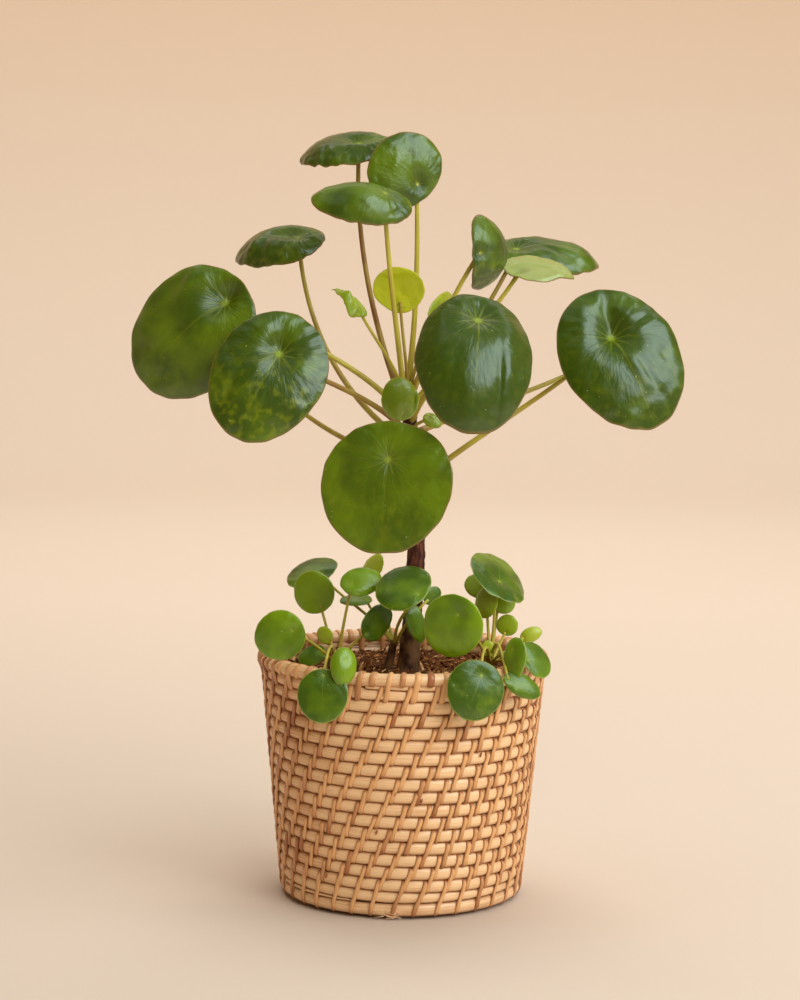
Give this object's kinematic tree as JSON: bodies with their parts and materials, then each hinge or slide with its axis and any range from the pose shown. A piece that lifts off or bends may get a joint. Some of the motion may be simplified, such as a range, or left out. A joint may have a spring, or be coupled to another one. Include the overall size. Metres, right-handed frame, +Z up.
{
  "type": "potted pilea plant",
  "caption": "Pilea (Chinese money plant) with round shield leaves on long stalks from one bare trunk, with young shoots at its foot, in a tapered lashed rattan basket filled with soil",
  "frame": {"origin": "Middle of the basket's flat underside, on the surface that it stands on", "axes": "+Z up along the basket's axis, +X to the viewer's right, +Y away from the viewer"},
  "size_m": [0.3352, 0.2033, 0.4734],
  "materials": {
    "cane": "split rattan rods, semi-gloss, lashed with cane strips",
    "cane_rim": "rolled rim wrapped with cane strips",
    "cane_base": "rattan rods, matt",
    "liner": "thin dark plastic, hidden under the soil",
    "soil": "loose coir and bark chips",
    "bark": "dark woody stem with leaf scars",
    "bud": "dry papery scales",
    "leaf": "thick fleshy leaf, glossy above",
    "young_leaf": "soft young leaf",
    "shoot": "fresh green leaf, semi-gloss"
  },
  "bodies": {
    "root": {"basket_wall": "cane", "basket_rim": "cane_rim", "basket_base": "cane_base", "liner": "liner", "soil": "soil", "trunk": "bark", "crown_bud": "bud", "leaf_far_left": "leaf", "leaf_left_mid": "leaf", "leaf_upper_left": "leaf", "leaf_right_mid": "leaf", "leaf_far_right": "leaf", "leaf_front_low": "leaf", "leaf_top_left": "leaf", "leaf_top_mid": "leaf", "leaf_top_right": "leaf", "leaf_right_fold": "leaf", "leaf_back_right": "leaf", "leaf_pale_right": "leaf", "leaf_hidden_left": "leaf", "leaf_hidden_right": "leaf", "leaf_young_tiny": "young_leaf", "leaf_young_back": "young_leaf", "leaf_young_curl": "young_leaf", "leaf_young_front": "young_leaf", "leaf_young_narrow": "young_leaf", "shoot_left": "shoot", "shoot_centre": "shoot", "shoot_right": "shoot"}
  },
  "joints": []
}
